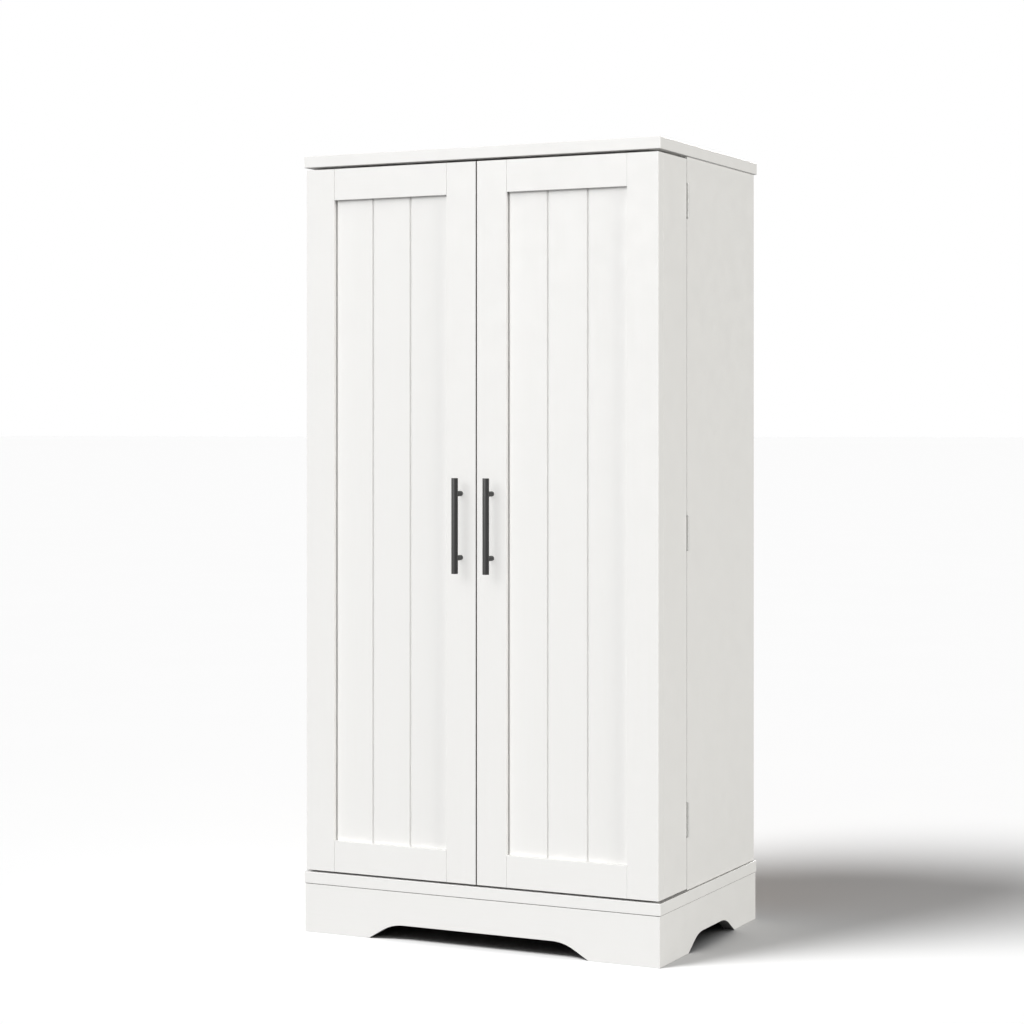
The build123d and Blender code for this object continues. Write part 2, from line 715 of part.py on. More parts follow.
    with BuildPart() as handle_screws:
        for z in handle_levels:
            rod((s * handle_x, frame_rear, z), (0, -1, 0), frame_board + handle_screw_reach,
                handle_screw_radius)
            rod((s * handle_x, frame_rear, z), (0, 1, 0), handle_screw_head_height, handle_screw_head_radius)
    save(handle_screws, f"{side}_handle_screws")

    with BuildPart() as door_leaves:
        hinge_leaf_set(s, -1)
    save(door_leaves, f"{side}_door_hinge_leaves")

    with BuildPart() as door_hinge_screws:
        hinge_screw_set(s, -1)
    save(door_hinge_screws, f"{side}_door_hinge_screws")
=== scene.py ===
import json
import math
import bmesh
import bpy
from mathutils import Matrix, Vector

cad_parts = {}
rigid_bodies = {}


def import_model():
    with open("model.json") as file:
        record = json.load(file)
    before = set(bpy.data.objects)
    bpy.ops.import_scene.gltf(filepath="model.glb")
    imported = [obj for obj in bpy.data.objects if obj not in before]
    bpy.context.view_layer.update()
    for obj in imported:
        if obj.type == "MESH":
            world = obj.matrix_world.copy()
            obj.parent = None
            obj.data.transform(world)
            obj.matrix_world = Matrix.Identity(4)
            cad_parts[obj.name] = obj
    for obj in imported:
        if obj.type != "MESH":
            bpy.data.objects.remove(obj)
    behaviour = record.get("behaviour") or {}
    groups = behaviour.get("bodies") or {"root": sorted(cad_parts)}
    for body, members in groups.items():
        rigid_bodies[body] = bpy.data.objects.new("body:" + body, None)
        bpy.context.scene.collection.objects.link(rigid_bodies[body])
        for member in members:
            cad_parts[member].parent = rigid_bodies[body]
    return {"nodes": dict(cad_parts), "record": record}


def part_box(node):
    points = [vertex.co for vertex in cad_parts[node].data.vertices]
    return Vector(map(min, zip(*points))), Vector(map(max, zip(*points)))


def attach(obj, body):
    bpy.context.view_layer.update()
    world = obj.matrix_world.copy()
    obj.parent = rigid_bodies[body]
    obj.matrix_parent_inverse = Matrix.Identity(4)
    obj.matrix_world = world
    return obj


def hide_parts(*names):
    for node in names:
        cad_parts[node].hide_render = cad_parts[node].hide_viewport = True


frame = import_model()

MM = 0.001
SAME_SPOT = 0.001 * MM
FACES_THAT_WAY = 0.95
DOWN, UP = (0, 0, -1), (0, 0, 1)
FRONT, BACK = (0, -1, 0), (0, 1, 0)
LEFT, RIGHT = (-1, 0, 0), (1, 0, 0)
# Amounts for the bare mark: whole shows bare board, dark enough on the white boards to paint shade;
# half paints shade on edges in gaps and on ledges.
WHOLE_BARE_AND_SHADE, HALF_SHADE = 1.0, 0.5
BOARDS_IN_A_DOOR = 3
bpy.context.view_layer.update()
BODIES = frame["record"]["behaviour"]["bodies"]
BODY_OF = {node: body for body, nodes in BODIES.items() for node in nodes}
SLOT_OF = {entry["node"]: entry["material_slot"] for entry in frame["record"]["subparts"]}
SIDES = ("left", "right")
floor_group = bpy.data.collections.new("floor_group")
cabinet_group = bpy.data.collections.new("cabinet_group")
board_group = bpy.data.collections.new("board_group")


# ================================================================ node helpers
def add_node(tree, kind, links=None, **settings):
    """Adds one node; links maps an input's name or number to a value or to the socket that feeds it."""
    made = tree.nodes.new(kind)
    for name, value in settings.items():
        setattr(made, name, value)
    for name, value in (links or {}).items():
        for feed in value if isinstance(value, list) else [value]:
            if isinstance(feed, bpy.types.NodeSocket):
                tree.links.new(feed, made.inputs[name])
            else:
                made.inputs[name].default_value = feed
    return made


def new_finish(name, colour, roughness, metallic=0.0):
    """A material with its shader ready; returns the material, its tree and the shader."""
    finish = bpy.data.materials.new(name)
    finish.use_nodes = True
    shader = finish.node_tree.nodes["Principled BSDF"]
    shader.inputs["Base Color"].default_value = (*colour, 1)
    shader.inputs["Roughness"].default_value = roughness
    shader.inputs["Metallic"].default_value = metallic
    return finish, finish.node_tree, shader


def noise(tree, scale, detail=2.0, stretch=(1, 1, 1)):
    """A cloudy 0 to 1 pattern in metres, drawn out along the axes that have a small stretch."""
    spot = add_node(tree, "ShaderNodeTexCoord")
    drawn = add_node(tree, "ShaderNodeMapping", {"Vector": spot.outputs["Object"], "Scale": stretch})
    cloud = add_node(tree, "ShaderNodeTexNoise",
                     {"Vector": drawn.outputs["Vector"], "Scale": scale, "Detail": detail})
    return cloud.outputs["Fac"]


def spread(tree, value, low, high, from_low=0.3, from_high=0.7):
    """Maps the useful middle of a noise onto a range."""
    limits = {"Value": value, "From Min": from_low, "From Max": from_high,
              "To Min": low, "To Max": high}
    return add_node(tree, "ShaderNodeMapRange", limits).outputs["Result"]


def tint(tree, value, dark, light):
    """Mixes two colours, or two colour sockets, by a 0 to 1 value."""
    ends = [end if isinstance(end, bpy.types.NodeSocket) else (*end, 1) for end in (dark, light)]
    mix = add_node(tree, "ShaderNodeMix", {0: value, 6: ends[0], 7: ends[1]}, data_type="RGBA")
    return mix.outputs[2]


def emboss(tree, shader, height, depth):
    """Presses a height pattern into the surface, depth in metres."""
    bump = add_node(tree, "ShaderNodeBump", {"Height": height, "Distance": depth})
    tree.links.new(bump.outputs["Normal"], shader.inputs["Normal"])


def bare_and_shade_mark(tree):
    """Reads how far a face was marked as bare board, which on the white boards also stands for painted
    shade: 1 wholly, 0 not at all.
    """
    return add_node(tree, "ShaderNodeAttribute", attribute_name="raw_face").outputs["Fac"]


def paint(tree, shader, colour):
    """Leads a colour socket to the shader."""
    tree.links.new(colour, shader.inputs["Base Color"])


def gloss(tree, shader, value):
    """Leads a roughness socket to the shader."""
    tree.links.new(value, shader.inputs["Roughness"])


# ================================================================ finishes
def bare_fibre_and_shade(tree):
    """Bare brown fibre where the white skin was left off, made far darker than bare board so that it
    also paints the shade in voids, gaps and joint lines.
    """
    return tint(tree, noise(tree, 500.0, 5.0), (0.035, 0.026, 0.018), (0.075, 0.055, 0.038))


def white_lacquer(name, grain):
    """Satin white skin: a faint drift of tone, and a fainter grain along the board."""
    finish, tree, shader = new_finish(name, (0.79, 0.785, 0.77), 0.45)
    drift = tint(tree, noise(tree, 5.0, 3.0), (0.783, 0.777, 0.76), (0.797, 0.792, 0.777))
    streaks = spread(tree, noise(tree, 420.0, 3.0, stretch=grain), 0.0, 1.0)
    skin = tint(tree, streaks, drift, (0.795, 0.79, 0.777))
    # Marked faces take the dark fibre colour: bare board, and painted shade in the voids, gaps and
    # joint lines.
    paint(tree, shader, tint(tree, bare_and_shade_mark(tree), skin, bare_fibre_and_shade(tree)))
    gloss(tree, shader, spread(tree, noise(tree, 40.0), 0.38, 0.5))
    emboss(tree, shader, streaks, 0.008 * MM)
    return finish


def matt_black():
    """Black powder coat with its fine pebbled skin."""
    finish, tree, shader = new_finish("matt_black", (0.06, 0.06, 0.059), 0.5)
    pebbles = noise(tree, 1500.0, 2.0)
    paint(tree, shader, tint(tree, pebbles, (0.05, 0.05, 0.049), (0.078, 0.078, 0.077)))
    gloss(tree, shader, spread(tree, noise(tree, 300.0), 0.42, 0.58))
    emboss(tree, shader, pebbles, 0.04 * MM)
    return finish


def brushed(name, colour, roughness, metallic):
    """Metal with brush marks along its height."""
    finish, tree, shader = new_finish(name, colour, roughness, metallic)
    marks = noise(tree, 1200.0, 3.0, stretch=(1, 1, 0.05))
    darker = [channel * 0.86 for channel in colour]
    paint(tree, shader, tint(tree, marks, darker, colour))
    gloss(tree, shader, spread(tree, marks, roughness - 0.08, roughness + 0.1))
    emboss(tree, shader, marks, 0.01 * MM)
    return finish


def hardboard():
    """Thin pressed board: painted white inside, bare brown and flecked behind."""
    finish, tree, shader = new_finish("hardboard", (0.3, 0.2, 0.12), 0.7)
    flecks = noise(tree, 700.0, 6.0)
    bare = tint(tree, flecks, (0.2, 0.125, 0.07), (0.44, 0.31, 0.19))
    white = tint(tree, noise(tree, 9.0), (0.74, 0.735, 0.72), (0.77, 0.765, 0.75))
    paint(tree, shader, tint(tree, bare_and_shade_mark(tree), white, bare))
    emboss(tree, shader, flecks, 0.08 * MM)
    return finish


def plain_wood(name, dark, light):
    """Bare wood with its grain drawn out along the height."""
    finish, tree, shader = new_finish(name, light, 0.6)
    grain = noise(tree, 160.0, 4.0, stretch=(1, 1, 0.08))
    paint(tree, shader, tint(tree, spread(tree, grain, 0.0, 1.0), dark, light))
    emboss(tree, shader, grain, 0.1 * MM)
    return finish


def catch_plastic():
    """White moulded plastic with a fine spark texture."""
    finish, tree, shader = new_finish("catch_plastic", (0.78, 0.78, 0.76), 0.5)
    sparks = noise(tree, 2200.0)
    paint(tree, shader, tint(tree, sparks, (0.76, 0.76, 0.74), (0.8, 0.8, 0.78)))
    gloss(tree, shader, spread(tree, noise(tree, 200.0), 0.42, 0.58))
    emboss(tree, shader, sparks, 0.03 * MM)
    return finish


LACQUERS = {
    "up": white_lacquer("white_lacquer", grain=(1, 1, 0.02)),
    "across": white_lacquer("white_lacquer_across", grain=(0.02, 1, 1)),
    "back": white_lacquer("white_lacquer_back", grain=(1, 0.02, 1)),
}
FINISHES = {
    "white_lacquer": LACQUERS["up"],
    "matt_black": matt_black(),
    "hinge_steel": brushed("hinge_steel", (0.66, 0.66, 0.645), 0.4, 0.15),
    "zinc": brushed("zinc", (0.62, 0.63, 0.65), 0.38, 0.6),
    "hardboard": hardboard(),
    "pine": plain_wood("pine", (0.5, 0.33, 0.18), (0.74, 0.56, 0.36)),
    "beech": plain_wood("beech", (0.5, 0.34, 0.2), (0.72, 0.54, 0.37)),
    "catch_plastic": catch_plastic(),
}


# ================================================================ piece helpers
def place(piece, slot, body, *nodes):
    """Says which body a finished piece rides on and hides the plain nodes that it stands for. The slot
    argument is not used.
    """
    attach(piece, body)
    if nodes:
        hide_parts(*nodes)
    return piece


def new_piece(name, mesh):
    """Puts a mesh into the scene as an object of its own."""
    piece = bpy.data.objects.new(name, mesh)
    bpy.context.scene.collection.objects.link(piece)
    return piece


def settle(piece):
    """Turns a piece's modifiers into plain mesh."""
    worked_out = piece.evaluated_get(bpy.context.evaluated_depsgraph_get())
    finished = bpy.data.meshes.new_from_object(worked_out)
    piece.modifiers.clear()
    piece.data = finished
    return piece


def join(piece, other):
    """Adds another piece's mesh to a piece and takes the other away."""
    both = bmesh.new()
    both.from_mesh(piece.data)
    both.from_mesh(other.data)
    both.to_mesh(piece.data)
    both.free()
    bpy.data.objects.remove(other)


def shade_round(mesh, crisp_angle=35):
    """Smooth shading that keeps the edges sharper than an angle crisp."""
    for polygon in mesh.polygons:
        polygon.use_smooth = True
    mesh.set_sharp_from_angle(angle=math.radians(crisp_angle))


def whole_copy(node):
    """The node's mesh with its loose triangles joined and its flat faces made whole."""
    mesh = frame["nodes"][node].data.copy()
    shape = bmesh.new()
    shape.from_mesh(mesh)
    bmesh.ops.remove_doubles(shape, verts=shape.verts, dist=SAME_SPOT)
    bmesh.ops.dissolve_limit(shape, angle_limit=math.radians(0.3), verts=shape.verts,
                             edges=shape.edges)
    shape.to_mesh(mesh)
    shape.free()
    if mesh.has_custom_normals:
        mesh.attributes.remove(mesh.attributes["custom_normal"])
    return mesh


def mark_bare_and_shaded_faces(mesh, directions):
    """Marks the faces that look one way as bare board and painted shade, wholly or by an amount."""
    mark = mesh.attributes.new("raw_face", "FLOAT", "FACE")
    for direction, amount in directions:
        facing = Vector(direction)
        for polygon, value in zip(mesh.polygons, mark.data):
            if polygon.normal.dot(facing) > FACES_THAT_WAY:
                value.value = amount


def paint_ledge_shade(mesh):
    """Half marks the two narrow ledges of the base board, outside the side panels, with painted shade:
    a dark line where the panels stand.
    """
    left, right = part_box("left_side_panel")[0].x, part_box("right_side_panel")[1].x
    shape = bmesh.new()
    shape.from_mesh(mesh)
    mark = shape.faces.layers.float["raw_face"]
    for x in (left, right):
        bmesh.ops.bisect_plane(shape, geom=shape.verts[:] + shape.edges[:] + shape.faces[:],
                               plane_co=(x, 0, 0), plane_no=(1, 0, 0))
    for face in shape.faces:
        outside = not left < face.calc_center_median().x < right
        if outside and face.normal.z > FACES_THAT_WAY:
            face[mark] = HALF_SHADE
    shape.to_mesh(mesh)
    shape.free()


def ease_edges(piece, radius, shortest=6 * MM, flattest=math.radians(40)):
    """Rounds the long, sharp outer edges, as a sander does."""
    mesh = piece.data
    shape = bmesh.new()
    shape.from_mesh(mesh)
    weight = shape.edges.layers.float.new("bevel_weight_edge")
    for edge in shape.edges:
        if len(edge.link_faces) == 2 and edge.is_convex and edge.calc_length() > shortest:
            edge[weight] = float(edge.calc_face_angle() > flattest)
    shape.to_mesh(mesh)
    shape.free()
    ease = piece.modifiers.new("ease", "BEVEL")
    ease.width = radius
    ease.segments = 3
    ease.limit_method = "WEIGHT"
    ease.use_clamp_overlap = False
    settle(piece)
    shade_round(piece.data)
    even = piece.modifiers.new("even", "WEIGHTED_NORMAL")
    even.keep_sharp = True
    settle(piece)


def finished_board(node, radius, finish=None, raw=None):
    """The node's own shape with its long edges eased, in the finish of its slot."""
    board = new_piece(node + "_finished", whole_copy(node))
    # Marked faces show bare board, dark enough to paint shade.
    if raw:
        mark_bare_and_shaded_faces(board.data, raw)
    # The base board's outer ledges get a line of painted shade.
    if node == "bottom_board":
        paint_ledge_shade(board.data)
    ease_edges(board, radius)
    board.data.materials.clear()
    board.data.materials.append(finish or FINISHES[SLOT_OF[node]])
    return place(board, SLOT_OF[node], BODY_OF[node], node)


def turned(name, start, way, profile, steps=48):
    """A round piece turned about a line; profile lists (distance along the line, radius)."""
    way = Vector(way).normalized()
    turn = way.to_track_quat("Z", "Y").to_matrix()
    shape = bmesh.new()
    rings = []
    for along, radius in profile:
        ring = []
        count = steps if radius > 0 else 1
        for i in range(count):
            angle = 2 * math.pi * i / count
            spot = Vector((radius * math.cos(angle), radius * math.sin(angle), along))
            ring.append(shape.verts.new(Vector(start) + turn @ spot))
        rings.append(ring)
    for lower, upper in zip(rings, rings[1:]):
        for i in range(steps):
            corners = [lower[i % len(lower)], lower[(i + 1) % len(lower)],
                       upper[(i + 1) % len(upper)], upper[i % len(upper)]]
            shape.faces.new(list(dict.fromkeys(corners)))
    mesh = bpy.data.meshes.new(name)
    shape.to_mesh(mesh)
    shape.free()
    shade_round(mesh)
    return new_piece(name, mesh)


def eased_rod(length, radius, ease, steps=4):
    """The profile of a rod with its two end edges rounded over."""
    arc = [(ease * (1 - math.sin(turn)), radius - ease * (1 - math.cos(turn)))
           for turn in (math.pi / 2 * i / steps for i in range(steps, -1, -1))]
    far_arc = [(length - along, at) for along, at in reversed(arc)]
    return [(0, 0)] + arc + far_arc + [(length, 0)]


# ================================================================ repeats, by geometry nodes
def new_tree(name, inputs):
    """A geometry tree with its named inputs; returns the tree, its input node and its output node."""
    tree = bpy.data.node_groups.new(name, "GeometryNodeTree")
    tree.interface.new_socket("Geometry", in_out="INPUT", socket_type="NodeSocketGeometry")
    for label, kind in inputs.items():
        tree.interface.new_socket(label, in_out="INPUT", socket_type="NodeSocket" + kind)
    tree.interface.new_socket("Geometry", in_out="OUTPUT", socket_type="NodeSocketGeometry")
    return tree, tree.nodes.new("NodeGroupInput"), tree.nodes.new("NodeGroupOutput")


def finish_tree(tree, given, out, instances):
    """Ends a tree with real meshes in their finish."""
    real = add_node(tree, "GeometryNodeRealizeInstances", {"Geometry": instances})
    coat = add_node(tree, "GeometryNodeSetMaterial",
                    {"Geometry": real.outputs[0], "Material": given.outputs["finish"]})
    tree.links.new(coat.outputs[0], out.inputs[0])


def board_row_tree():
    """Stands the same board up several times at an even pitch; the base mesh is the board's plan."""
    tree, given, out = new_tree("board_row", {"height": "Float", "pitch": "Float", "count": "Int",
                                              "finish": "Material"})
    plan = given.outputs["Geometry"]
    rise = add_node(tree, "ShaderNodeCombineXYZ", {"Z": given.outputs["height"]})
    raised = add_node(tree, "GeometryNodeExtrudeMesh",
                      {"Mesh": plan, "Offset": rise.outputs[0], "Individual": False})
    foot = add_node(tree, "GeometryNodeFlipFaces", {"Mesh": plan})
    both = add_node(tree, "GeometryNodeJoinGeometry", {0: [foot.outputs[0], raised.outputs["Mesh"]]})
    board = add_node(tree, "GeometryNodeMergeByDistance",
                     {"Geometry": both.outputs[0], "Distance": SAME_SPOT})
    step = add_node(tree, "ShaderNodeCombineXYZ", {"X": given.outputs["pitch"]})
    line = add_node(tree, "GeometryNodeMeshLine",
                    {"Count": given.outputs["count"], "Offset": step.outputs[0]})
    row = add_node(tree, "GeometryNodeInstanceOnPoints",
                   {"Points": line.outputs[0], "Instance": board.outputs[0]})
    finish_tree(tree, given, out, row.outputs[0])
    return tree


def fastener_tree(name, has_cross):
    """Sets a screw or nail at every point of the base mesh, turned by chance about its line."""
    sizes = ["face_radius", "seat_radius", "head_height", "head_out", "shank_radius", "shank_length",
             "cross_length", "cross_width", "cross_depth"]
    inputs = {size: "Float" for size in sizes}
    tree, given, out = new_tree(name, {**inputs, "way": "Vector", "seed": "Int",
                                       "finish": "Material"})
    value = given.outputs

    def maths(operation, first, second):
        return add_node(tree, "ShaderNodeMath", {0: first, 1: second}, operation=operation).outputs[0]

    def at_height(geometry, height):
        lift = add_node(tree, "ShaderNodeCombineXYZ", {"Z": height})
        return add_node(tree, "GeometryNodeTransform",
                        {"Geometry": geometry, "Translation": lift.outputs[0]}).outputs[0]

    def cone(vertices, bottom, top, depth):
        sizes_of = {"Vertices": vertices, "Radius Bottom": value[bottom], "Radius Top": value[top],
                    "Depth": value[depth]}
        return add_node(tree, "GeometryNodeMeshCone", sizes_of).outputs["Mesh"]

    face_height = maths("MULTIPLY", value["head_out"], -1.0)
    seat_height = maths("SUBTRACT", value["head_height"], value["head_out"])
    head = at_height(cone(32, "face_radius", "seat_radius", "head_height"), face_height)
    shank = at_height(cone(24, "shank_radius", "shank_radius", "shank_length"), seat_height)
    if has_cross:
        deep = maths("MULTIPLY", value["cross_depth"], 2.0)
        cutters = []
        for first, second in (("cross_length", "cross_width"), ("cross_width", "cross_length")):
            size = add_node(tree, "ShaderNodeCombineXYZ",
                            {"X": value[first], "Y": value[second], "Z": deep})
            blade = add_node(tree, "GeometryNodeMeshCube", {"Size": size.outputs[0]})
            cutters.append(at_height(blade.outputs["Mesh"], face_height))
        head = add_node(tree, "GeometryNodeMeshBoolean", {0: head, 1: cutters},
                        operation="DIFFERENCE", solver="EXACT").outputs[0]
    item = add_node(tree, "GeometryNodeJoinGeometry", {0: [head, shank]})
    aim = add_node(tree, "FunctionNodeAlignRotationToVector", {"Vector": value["way"]}, axis="Z")
    chance = add_node(tree, "FunctionNodeRandomValue", {3: 2 * math.pi, "Seed": value["seed"]},
                      data_type="FLOAT")
    spin = add_node(tree, "FunctionNodeAxisAngleToRotation",
                    {"Axis": UP, "Angle": chance.outputs[1]})
    turn = add_node(tree, "FunctionNodeRotateRotation",
                    {"Rotation": aim.outputs[0], "Rotate By": spin.outputs[0]},
                    rotation_space="LOCAL")
    placed = add_node(tree, "GeometryNodeInstanceOnPoints",
                      {"Points": value["Geometry"], "Instance": item.outputs[0],
                       "Rotation": turn.outputs[0]})
    finish_tree(tree, given, out, placed.outputs[0])
    return tree


def grow(name, base, tree, values):
    """Runs a tree on a base mesh with its inputs set and keeps the plain mesh that comes out."""
    piece = new_piece(name, base)
    maker = piece.modifiers.new("maker", "NODES")
    maker.node_group = tree
    for item in tree.interface.items_tree:
        if item.in_out == "INPUT" and item.name in values:
            maker[item.identifier] = values[item.name]
    return settle(piece)


def plan_mesh(name, corners):
    """A flat outline, given anticlockwise from above, as one face."""
    mesh = bpy.data.meshes.new(name)
    mesh.from_pydata(corners, [], [tuple(range(len(corners)))])
    return mesh


def point_mesh(name, points):
    """Loose points, one for each fastener."""
    mesh = bpy.data.meshes.new(name)
    mesh.from_pydata(points, [], [])
    return mesh


BOARD_ROW = board_row_tree()
SCREW = fastener_tree("cross_screw", has_cross=True)
NAIL = fastener_tree("panel_nail", has_cross=False)


# ================================================================ door panels
def door_boards(side):
    """The door's panel as three upright boards whose chamfered edges meet in V-grooves."""
    node = f"{side}_door_panel"
    low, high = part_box(node)
    stile_edges = sorted(corner.x for stile in ("outer", "inner")
                         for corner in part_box(f"{side}_door_{stile}_stile"))
    x0 = stile_edges[1]
    pitch = (stile_edges[2] - x0) / BOARDS_IN_A_DOOR
    x1, front, rear, foot = x0 + pitch, low.y, high.y, low.z
    chamfer, chamfer_depth = 2.0 * MM, 2.4 * MM
    lip = 0.35 * MM
    plan = [(x0 + chamfer + lip, front, foot), (x1 - chamfer - lip, front, foot),
            (x1 - chamfer + 0.3 * lip, front + 0.3 * lip, foot), (x1, front + chamfer_depth, foot),
            (x1, rear, foot), (x0, rear, foot), (x0, front + chamfer_depth, foot),
            (x0 + chamfer - 0.3 * lip, front + 0.3 * lip, foot)]
    sizes = {"height": high.z - low.z, "finish": LACQUERS["up"]}
    boards = grow(f"{side}_door_boards", plan_mesh("board_plan", plan), BOARD_ROW,
                  {**sizes, "pitch": pitch, "count": BOARDS_IN_A_DOOR})
    tongue = [(low.x, front, foot), (x0, front, foot), (x0, rear, foot), (low.x, rear, foot)]
    join(boards, grow("door_tongues", plan_mesh("tongue_plan", tongue), BOARD_ROW,
                      {**sizes, "pitch": high.x - x0, "count": 2}))
    place(boards, "white_lacquer", BODY_OF[node], node)


# ================================================================ handles
def handle(side):
    """A straight round bar on two round posts."""
    low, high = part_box(f"{side}_handle_bar")
    middle = (low + high) / 2
    radius = min(high.x - low.x, high.y - low.y) / 2
    bar = turned(f"{side}_handle_grip", (middle.x, middle.y, low.z), UP,
                 eased_rod(high.z - low.z, radius, 0.5 * MM))
    bar.data.materials.append(FINISHES["matt_black"])
    place(bar, "matt_black", BODY_OF[f"{side}_handle_bar"], f"{side}_handle_bar")

    post_low, post_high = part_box(f"{side}_handle_posts")
    post_radius = (post_high.x - post_low.x) / 2
    seat = 1.0 * MM
    length = post_high.y - middle.y - radius + seat
    posts = [turned(f"{side}_handle_post", (middle.x, post_high.y, z), FRONT,
                    eased_rod(length, post_radius, 0.3 * MM))
             for z in (post_low.z + post_radius, post_high.z - post_radius)]
    join(*posts)
    posts[0].name = f"{side}_handle_feet"
    posts[0].data.materials.append(FINISHES["matt_black"])
    place(posts[0], "matt_black", BODY_OF[f"{side}_handle_posts"],
          f"{side}_handle_posts")


# ================================================================ fasteners
def solid_boxes(node):
    """The box of each separate solid in a node, as (low, high)."""
    shape = bmesh.new()
    shape.from_mesh(frame["nodes"][node].data)
    bmesh.ops.remove_doubles(shape, verts=shape.verts, dist=SAME_SPOT)
    left = set(shape.verts)
    boxes = []
    while left:
        todo = [left.pop()]
        low, high = todo[0].co.copy(), todo[0].co.copy()
        while todo:
            vert = todo.pop()
            low = Vector(map(min, low, vert.co))
            high = Vector(map(max, high, vert.co))
            for edge in vert.link_edges:
                other = edge.other_vert(vert)
                if other in left:
                    left.remove(other)
                    todo.append(other)
        boxes.append((low, high))
    shape.free()
    return sorted(boxes, key=lambda box: tuple(box[0]))


COUNTERSUNK = {"face_radius": 2.7 * MM, "seat_radius": 1.5 * MM, "head_height": 1.2 * MM,
               "head_out": 0.0, "shank_radius": 1.5 * MM, "cross_length": 3.0 * MM,
               "cross_width": 0.6 * MM, "cross_depth": 0.8 * MM}
PAN_HEAD = {"face_radius": 2.9 * MM, "seat_radius": 3.9 * MM, "head_height": 2.3 * MM,
            "head_out": 2.3 * MM, "shank_radius": 2.0 * MM, "cross_length": 3.8 * MM,
            "cross_width": 0.9 * MM, "cross_depth": 1.4 * MM}
FINE_NAIL = {"face_radius": 2.2 * MM, "seat_radius": 2.2 * MM, "head_height": 0.5 * MM,
             "head_out": 0.5 * MM, "shank_radius": 0.7 * MM, "shank_length": 18 * MM}


def screws(node, way, kind, seed):
    """Cross-head screws in the places of the node's own; way points from the head into the wood."""
    way = Vector(way)
    boxes = solid_boxes(node)
    low, high = boxes[-1]
    length = abs((high - low).dot(way))
    to_seat = length / 2 - kind["head_out"]
    spots = [(low + high) / 2 - way * to_seat for low, high in boxes]
    made = grow(node + "_cross_head", point_mesh("screw_spots", spots), SCREW,
                {**kind, "shank_length": length - kind["head_height"], "way": way, "seed": seed,
                 "finish": FINISHES["zinc"]})
    shade_round(made.data)
    place(made, "zinc", BODY_OF[node], node)


def back_nails():
    """Fine nails down both edges of the back panel and along the middle shelf."""
    low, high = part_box("back_panel")
    inset = 5 * MM
    nails_up, gaps_across = 11, 6
    spots = []
    for i in range(nails_up):
        z = low.z + inset + (high.z - low.z - 2 * inset) * i / (nails_up - 1)
        spots += [(low.x + inset, high.y, z), (high.x - inset, high.y, z)]
    shelf_low, shelf_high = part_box("middle_shelf")
    for i in range(1, gaps_across):
        x = low.x + (high.x - low.x) * i / gaps_across
        spots.append((x, high.y, (shelf_low.z + shelf_high.z) / 2))
    nails = grow("back_panel_nails", point_mesh("nail_spots", spots), NAIL,
                 {**FINE_NAIL, "way": FRONT, "seed": 5, "finish": FINISHES["zinc"]})
    shade_round(nails.data)
    place(nails, "zinc", "carcass")


# ================================================================ the cabinet
# Faces marked bare: hidden faces left without the white skin, darkened also as painted shade under the
# arches, under the doors and in the door gap.
BARE_AND_SHADED_SIDES = {
    "front_skirt": [(UP, WHOLE_BARE_AND_SHADE), (BACK, WHOLE_BARE_AND_SHADE)],
    "rear_skirt": [(UP, WHOLE_BARE_AND_SHADE), (FRONT, WHOLE_BARE_AND_SHADE)],
    "left_skirt": [(UP, WHOLE_BARE_AND_SHADE), (RIGHT, WHOLE_BARE_AND_SHADE)],
    "right_skirt": [(UP, WHOLE_BARE_AND_SHADE), (LEFT, WHOLE_BARE_AND_SHADE)],
    "back_panel": [(BACK, WHOLE_BARE_AND_SHADE)],
    "bottom_board": [(DOWN, WHOLE_BARE_AND_SHADE)],
    "side_panel": [(DOWN, WHOLE_BARE_AND_SHADE)],
    "bottom_rail": [(DOWN, WHOLE_BARE_AND_SHADE)],
    "outer_stile": [(DOWN, WHOLE_BARE_AND_SHADE)],
    "outer_board": [(DOWN, WHOLE_BARE_AND_SHADE)],
    "inner_board": [(DOWN, WHOLE_BARE_AND_SHADE)],
    # Half marks on the meeting edges paint shade into the gap between the doors.
    "left_door_inner_stile": [(DOWN, WHOLE_BARE_AND_SHADE), (RIGHT, HALF_SHADE)],
    "right_door_inner_stile": [(DOWN, WHOLE_BARE_AND_SHADE), (LEFT, HALF_SHADE)],
}
ACROSS = ("top_panel", "bottom_board", "front_skirt", "rear_skirt", "middle_shelf",
          "adjustable_shelves", "rail", "door_shelf", "top_board", "door_bottom_board")
FRONT_TO_BACK = ("left_skirt", "right_skirt")


def lacquer_for(node):
    """The white skin with its grain along the node's longest side."""
    if node in FRONT_TO_BACK:
        return LACQUERS["back"]
    return LACQUERS["across" if any(word in node for word in ACROSS) else "up"]


SMALL_PART_EDGE = 0.15 * MM


def edge_radius(node):
    """How far a board's edges are rounded: least on the base board, most on the door frames."""
    if node == "bottom_board":
        return 0.2 * MM
    return (0.7 if node.endswith(("stile", "rail")) else 0.5) * MM


for side in SIDES:
    door_boards(side)
    handle(side)
    screws(f"{side}_door_hinge_screws", FRONT, COUNTERSUNK, seed=11)
    screws(f"{side}_handle_screws", FRONT, PAN_HEAD, seed=12)
screws("carcass_hinge_screws", BACK, COUNTERSUNK, seed=13)
screws("bracket_screws", UP, PAN_HEAD, seed=14)
back_nails()

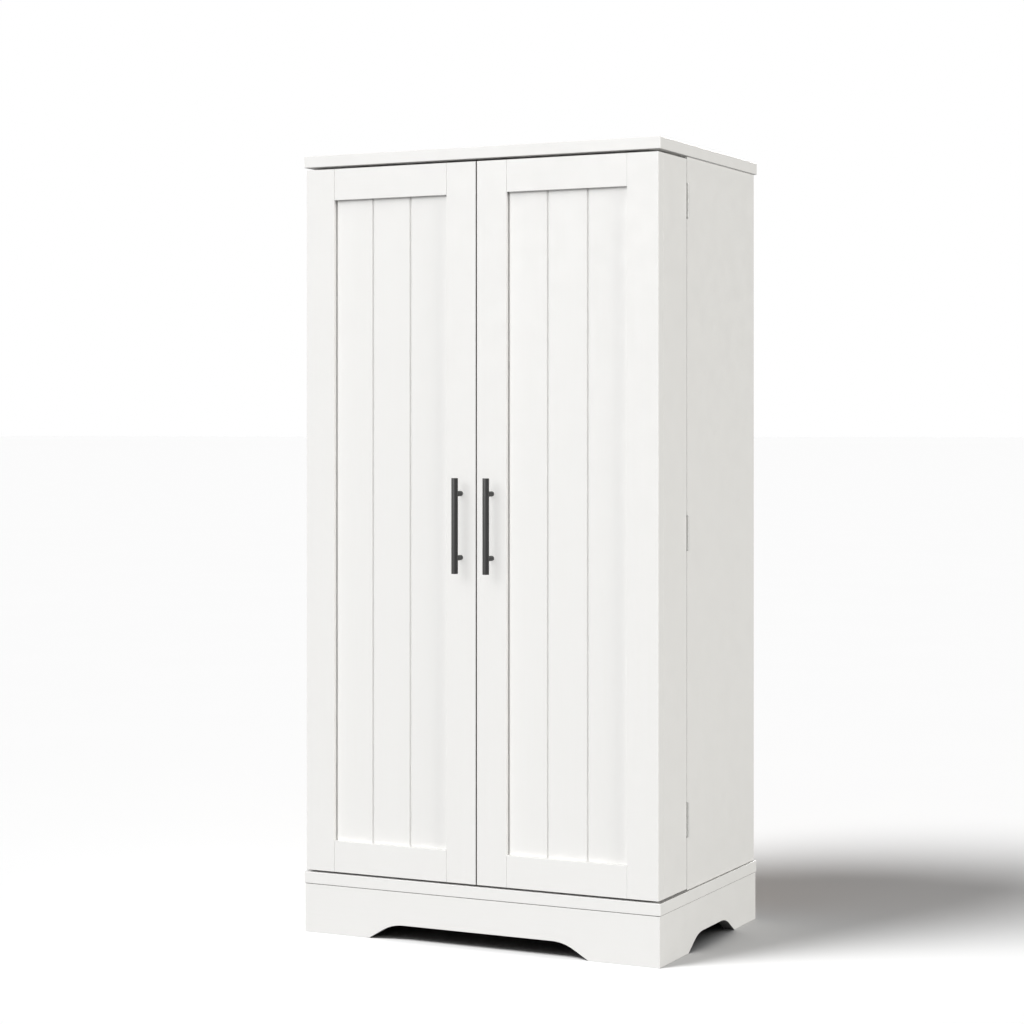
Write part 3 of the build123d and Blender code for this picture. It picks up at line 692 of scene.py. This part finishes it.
made_another_way = ("door_panel", "handle_bar", "handle_posts", "screws")
for node, slot in SLOT_OF.items():
    if node.endswith(made_another_way):
        continue
    if slot in ("white_lacquer", "hardboard"):
        finish = lacquer_for(node) if slot == "white_lacquer" else None
        # The faces to mark as bare board and painted shade.
        raw = next((ways for name, ways in BARE_AND_SHADED_SIDES.items() if node.endswith(name)), None)
        finished_board(node, edge_radius(node), finish=finish, raw=raw)
    elif slot in ("hinge_steel", "pine", "catch_plastic"):
        finished_board(node, SMALL_PART_EDGE)
    else:
        cad = frame["nodes"][node]
        cad.data.materials.clear()
        cad.data.materials.append(FINISHES[slot])


# ================================================================ floor, light and camera
def stage_floor():
    """A wide pale floor under the cabinet, which throws little light back up onto it."""
    reach = 400.0
    corners = [(-reach, -reach, 0), (reach, -reach, 0), (reach, reach, 0), (-reach, reach, 0)]
    floor = new_piece("floor", plan_mesh("floor", corners))
    finish, tree, shader = new_finish("floor_white", (0.93, 0.93, 0.93), 0.9)
    shader.inputs["Specular IOR Level"].default_value = 0.0
    seen = tint(tree, noise(tree, 2.0), (0.925, 0.925, 0.925), (0.935, 0.935, 0.935))
    path = add_node(tree, "ShaderNodeLightPath")
    paint(tree, shader, tint(tree, path.outputs["Is Camera Ray"], (0.2, 0.2, 0.2), seen))
    floor.data.materials.append(finish)
    floor_group.objects.link(floor)


def studio_lamp(name, azimuth, elevation, softness, strength, lights_up, shaded_by=None,
                colour=(1, 1, 1)):
    """A far, broad lamp for one group of objects, set by angles in degrees.

    Azimuth runs from the front (-Y) towards the right (+X).
    """
    lamp = bpy.data.lights.new(name, "SUN")
    lamp.angle = math.radians(softness)
    lamp.energy = strength
    lamp.color = colour
    holder = bpy.data.objects.new(name, lamp)
    across, up = math.radians(azimuth), math.radians(elevation)
    towards = Vector((math.sin(across) * math.cos(up), -math.cos(across) * math.cos(up),
                      math.sin(up)))
    holder.rotation_euler = (-towards).to_track_quat("-Z", "Y").to_euler()
    holder.light_linking.receiver_collection = lights_up
    if shaded_by:
        holder.light_linking.blocker_collection = shaded_by
    bpy.context.scene.collection.objects.link(holder)


def studio():
    """White surroundings that look pure white but light the room only softly."""
    world = bpy.data.worlds.new("studio")
    bpy.context.scene.world = world
    world.use_nodes = True
    tree = world.node_tree
    tree.nodes.clear()
    seen = add_node(tree, "ShaderNodeBackground", {"Color": (1, 1, 1, 1), "Strength": 1.0})
    lit = add_node(tree, "ShaderNodeBackground", {"Color": (1, 1, 1, 1), "Strength": 0.06})
    path = add_node(tree, "ShaderNodeLightPath")
    mix = add_node(tree, "ShaderNodeMixShader",
                   {0: path.outputs["Is Camera Ray"], 1: lit.outputs[0], 2: seen.outputs[0]})
    add_node(tree, "ShaderNodeOutputWorld", {"Surface": mix.outputs[0]})
    bpy.context.scene.view_settings.view_transform = "Standard"


def front_camera():
    """Level camera, to the right of the front, a little above the cabinet's middle."""
    camera = bpy.data.cameras.new("camera")
    camera.sensor_width = 36.0
    camera.lens = 84.74
    camera.shift_y = -0.0775
    level, turned_left = math.radians(90), math.radians(26.06)
    holder = bpy.data.objects.new("camera", camera)
    holder.location = (1.6313, -3.4008, 0.7723)
    holder.rotation_euler = (level, 0, turned_left)
    bpy.context.scene.collection.objects.link(holder)
    bpy.context.scene.camera = holder


for piece in bpy.data.objects:
    if piece.type == "MESH":
        cabinet_group.objects.link(piece)
        if "handle" not in piece.name:
            board_group.objects.link(piece)
stage_floor()
studio()
studio_lamp("floor_key", azimuth=-38.5, elevation=52, softness=24, strength=3.0,
            lights_up=floor_group)
studio_lamp("floor_fill", azimuth=0, elevation=90, softness=125, strength=0.72,
            lights_up=floor_group)
studio_lamp("front_left", azimuth=-27, elevation=28, softness=36, strength=0.55,
            lights_up=cabinet_group)
studio_lamp("front_high", azimuth=-20, elevation=46, softness=64, strength=1.6,
            lights_up=cabinet_group, shaded_by=board_group)
studio_lamp("front_low", azimuth=-16, elevation=12, softness=30, strength=1.31,
            lights_up=cabinet_group, shaded_by=board_group)
studio_lamp("right_side", azimuth=85, elevation=16, softness=30, strength=2.7,
            lights_up=board_group, shaded_by=board_group, colour=(1.0, 0.99, 0.96))
studio_lamp("left_side", azimuth=-102, elevation=22, softness=20, strength=1.8,
            lights_up=cabinet_group)
studio_lamp("rear", azimuth=-172, elevation=25, softness=14, strength=2.3,
            lights_up=cabinet_group)
front_camera()
